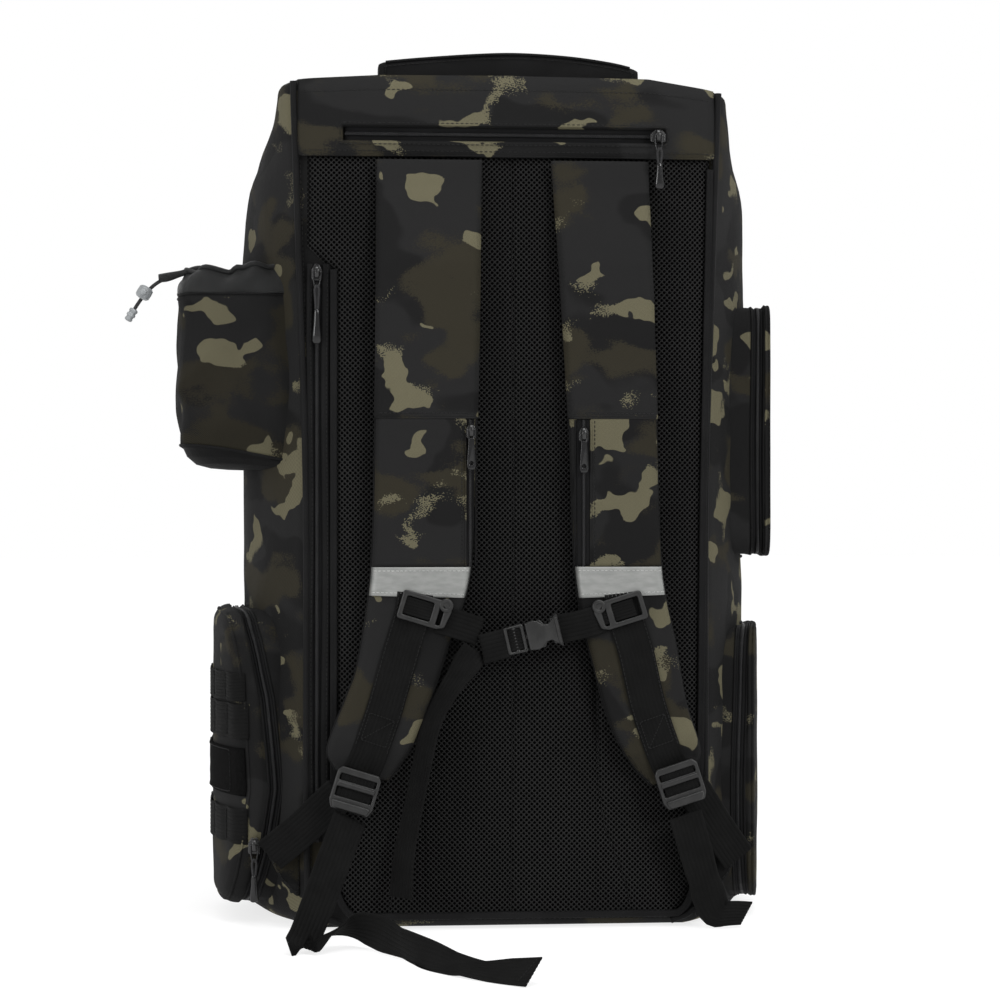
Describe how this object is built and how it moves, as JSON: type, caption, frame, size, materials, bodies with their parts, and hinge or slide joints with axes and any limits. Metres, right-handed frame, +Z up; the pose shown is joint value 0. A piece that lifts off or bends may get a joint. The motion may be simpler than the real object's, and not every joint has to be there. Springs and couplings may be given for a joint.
{
  "type": "tackle backpack",
  "caption": "Tall fishing tackle backpack with air-mesh back, padded shoulder straps, sternum strap, side pockets, drawstring bottle pocket and carry handle.",
  "frame": {"origin": "on the floor under the middle of the base panel", "axes": "+Z up, -Y towards the wearer's back (mesh pad and straps), +X to the right as that side is viewed"},
  "size_m": [0.4715, 0.4809, 0.619],
  "materials": {
    "camo_fabric": "coated polyester oxford, woodland blobs over charcoal",
    "air_mesh": "spacer mesh",
    "black_nylon": "plain nylon",
    "black_trim": "woven binding",
    "black_webbing": "ribbed webbing",
    "loop_pile": "hook-and-loop pile",
    "reflective_tape": "satin reflective tape with white stitching",
    "moulded_black": "moulded acetal, satin",
    "cord_fittings": "smooth moulded plastic",
    "cord_black": "braided cord",
    "zip_metal": "black enamelled die casting",
    "zip_pull_gloss": "black enamelled"
  },
  "bodies": {
    "bag": {"base_panel": "camo_fabric", "top_panel": "camo_fabric", "side_panel_left": "camo_fabric", "side_panel_right": "camo_fabric", "back_panel": "black_nylon", "front_frame": "camo_fabric", "divider_shelf": "black_nylon", "mesh_back_pad": "air_mesh", "yoke_panel": "camo_fabric", "zip_tapes": "black_trim", "piping": "black_trim", "top_handle": "black_nylon", "lower_left_pocket": "camo_fabric", "lower_right_pocket": "camo_fabric", "upper_right_pocket": "camo_fabric", "drawstring_pocket": "camo_fabric", "drawstring_collar": "black_nylon", "drawcord": "cord_black", "cord_end": "cord_fittings", "anchor_tabs": "camo_fabric", "anchor_webbings": "black_webbing"},
    "front_door": {"front_door": "camo_fabric", "front_pocket": "camo_fabric"},
    "lower_left_lid": {"lower_left_lid": "camo_fabric", "lid_webbing_rows": "black_webbing", "loop_patch": "loop_pile"},
    "lower_right_lid": {"lower_right_lid": "camo_fabric"},
    "upper_right_lid": {"upper_right_lid": "camo_fabric"},
    "harness": {"strap_pad_left": "camo_fabric", "strap_pad_right": "camo_fabric", "strap_pocket_left": "camo_fabric", "strap_pocket_right": "camo_fabric", "reflective_bands": "reflective_tape", "strap_webbings": "black_webbing", "strap_tail_left": "black_webbing", "strap_tail_right": "black_webbing"},
    "ladder_lock_left": {"ladder_lock_left": "moulded_black"},
    "ladder_lock_right": {"ladder_lock_right": "moulded_black"},
    "sternum": {"buckle_female": "moulded_black", "sternum_webbing_left": "black_webbing", "sternum_webbing_right": "black_webbing"},
    "sternum_slider_left": {"sternum_slider_left": "moulded_black"},
    "sternum_slider_right": {"sternum_slider_right": "moulded_black"},
    "buckle_male": {"buckle_male": "moulded_black", "sternum_fold": "black_webbing", "sternum_tail": "black_webbing"},
    "buckle_prong_upper": {"buckle_prong_upper": "moulded_black"},
    "buckle_prong_lower": {"buckle_prong_lower": "moulded_black"},
    "cord_lock": {"cord_lock_body": "cord_fittings"},
    "cord_lock_button": {"cord_lock_button": "cord_fittings"},
    "yoke_zip_slider": {"yoke_zip_slider": "zip_metal"},
    "yoke_zip_pull": {"yoke_zip_pull": "zip_pull_gloss"},
    "side_zip_slider": {"side_zip_slider": "zip_metal"},
    "side_zip_pull": {"side_zip_pull": "zip_pull_gloss"},
    "strap_left_zip_slider": {"strap_left_zip_slider": "zip_metal"},
    "strap_left_zip_pull": {"strap_left_zip_pull": "zip_pull_gloss"},
    "strap_right_zip_slider": {"strap_right_zip_slider": "zip_metal"},
    "strap_right_zip_pull": {"strap_right_zip_pull": "zip_pull_gloss"},
    "lower_left_zip_slider": {"lower_left_zip_slider": "zip_metal"},
    "lower_left_zip_pull": {"lower_left_zip_pull": "zip_pull_gloss"}
  },
  "joints": [
    {"name": "harness_swing", "type": "hinge", "parent": "bag", "child": "harness", "pos_m": [0, -0.118, 0.541], "axis": [-1, 0, 0], "range_deg": [0, 15]},
    {"name": "ladder_lock_left_tilt", "type": "hinge", "parent": "harness", "child": "ladder_lock_left", "pos_m": [-0.1037, -0.1327, 0.11343], "axis": [-0.9563, 0, 0.2924], "range_deg": [0, 25]},
    {"name": "ladder_lock_right_tilt", "type": "hinge", "parent": "harness", "child": "ladder_lock_right", "pos_m": [0.11448, -0.1327, 0.11636], "axis": [-0.9511, 0, -0.309], "range_deg": [0, 25]},
    {"name": "sternum_height", "type": "slide", "parent": "harness", "child": "sternum", "axis": [0, 0, -1], "range_m": [0, 0.022]},
    {"name": "sternum_slider_left_spread", "type": "slide", "parent": "sternum", "child": "sternum_slider_left", "axis": [-1, 0, 0], "range_m": [0, 0.0063]},
    {"name": "sternum_slider_right_spread", "type": "slide", "parent": "sternum", "child": "sternum_slider_right", "axis": [1, 0, 0], "range_m": [0, 0.0063]},
    {"name": "buckle_release", "type": "slide", "parent": "sternum", "child": "buckle_male", "axis": [-0.9744, 0, -0.225], "range_m": [0, 0.0145]},
    {"name": "prong_upper_press", "type": "hinge", "parent": "buckle_male", "child": "buckle_prong_upper", "pos_m": [0.01062, -0.1346, 0.21078], "axis": [0, 1, 0], "range_deg": [0, 5], "stiffness_Nm_per_rad": 0.02},
    {"name": "prong_lower_press", "type": "hinge", "parent": "buckle_male", "child": "buckle_prong_lower", "pos_m": [0.01278, -0.1346, 0.20142], "axis": [0, -1, 0], "range_deg": [0, 5], "stiffness_Nm_per_rad": 0.02},
    {"name": "cord_lock_travel", "type": "slide", "parent": "bag", "child": "cord_lock", "axis": [-0.5087, 0, -0.8609], "range_m": [0, 0.0065]},
    {"name": "cord_lock_press", "type": "slide", "parent": "cord_lock", "child": "cord_lock_button", "axis": [0, 1, 0], "range_m": [0, 0.0017], "stiffness_N_per_m": 300},
    {"name": "yoke_zip", "type": "slide", "parent": "bag", "child": "yoke_zip_slider", "axis": [-1, 0, 0], "range_m": [0, 0.215]},
    {"name": "yoke_pull_lift", "type": "hinge", "parent": "yoke_zip_slider", "child": "yoke_zip_pull", "pos_m": [0.106, -0.11765, 0.557], "axis": [-1, 0, 0], "range_deg": [0, 140]},
    {"name": "side_zip", "type": "slide", "parent": "bag", "child": "side_zip_slider", "axis": [0, 0, -1], "range_m": [0, 0.27]},
    {"name": "side_pull_lift", "type": "hinge", "parent": "side_zip_slider", "child": "side_zip_pull", "pos_m": [-0.1335, -0.11155, 0.46], "axis": [-1, 0, 0], "range_deg": [0, 140]},
    {"name": "strap_left_zip", "type": "slide", "parent": "harness", "child": "strap_left_zip_slider", "axis": [0, 0, -1], "range_m": [0, 0.08]},
    {"name": "strap_left_pull_lift", "type": "hinge", "parent": "strap_left_zip_slider", "child": "strap_left_zip_pull", "pos_m": [-0.0272, -0.13435, 0.349], "axis": [-1, 0, 0], "range_deg": [0, 140]},
    {"name": "strap_right_zip", "type": "slide", "parent": "harness", "child": "strap_right_zip_slider", "axis": [0, 0, -1], "range_m": [0, 0.08]},
    {"name": "strap_right_pull_lift", "type": "hinge", "parent": "strap_right_zip_slider", "child": "strap_right_zip_pull", "pos_m": [0.0513, -0.13435, 0.347], "axis": [-1, 0, 0], "range_deg": [0, 140]},
    {"name": "lower_left_zip", "type": "slide", "parent": "bag", "child": "lower_left_zip_slider", "axis": [0, 0, 1], "range_m": [0, 0.11]},
    {"name": "lower_left_pull_lift", "type": "hinge", "parent": "lower_left_zip_slider", "child": "lower_left_zip_pull", "pos_m": [-0.177, -0.08465, 0.057], "axis": [-1, 0, 0], "range_deg": [0, 140]},
    {"name": "lower_left_lid_open", "type": "hinge", "parent": "bag", "child": "lower_left_lid", "pos_m": [-0.19, 0.058, 0.118], "axis": [0, 0, -1], "range_deg": [0, 110]},
    {"name": "lower_right_lid_open", "type": "hinge", "parent": "bag", "child": "lower_right_lid", "pos_m": [0.187, 0.058, 0.111], "axis": [0, 0, 1], "range_deg": [0, 110]},
    {"name": "upper_right_lid_open", "type": "hinge", "parent": "bag", "child": "upper_right_lid", "pos_m": [0.19, 0.054, 0.3515], "axis": [0, 0, 1], "range_deg": [0, 110]},
    {"name": "front_door_open", "type": "hinge", "parent": "bag", "child": "front_door", "pos_m": [-0.1184, 0.095, 0.2925], "axis": [0, 0, 1], "range_deg": [0, 100]}
  ],
  "couplings": [
    {"joint": "sternum_slider_left_spread", "follows": "sternum_height", "ratio": 0.28},
    {"joint": "sternum_slider_right_spread", "follows": "sternum_height", "ratio": 0.28},
    {"joint": "prong_lower_press", "follows": "prong_upper_press", "ratio": 1}
  ]
}
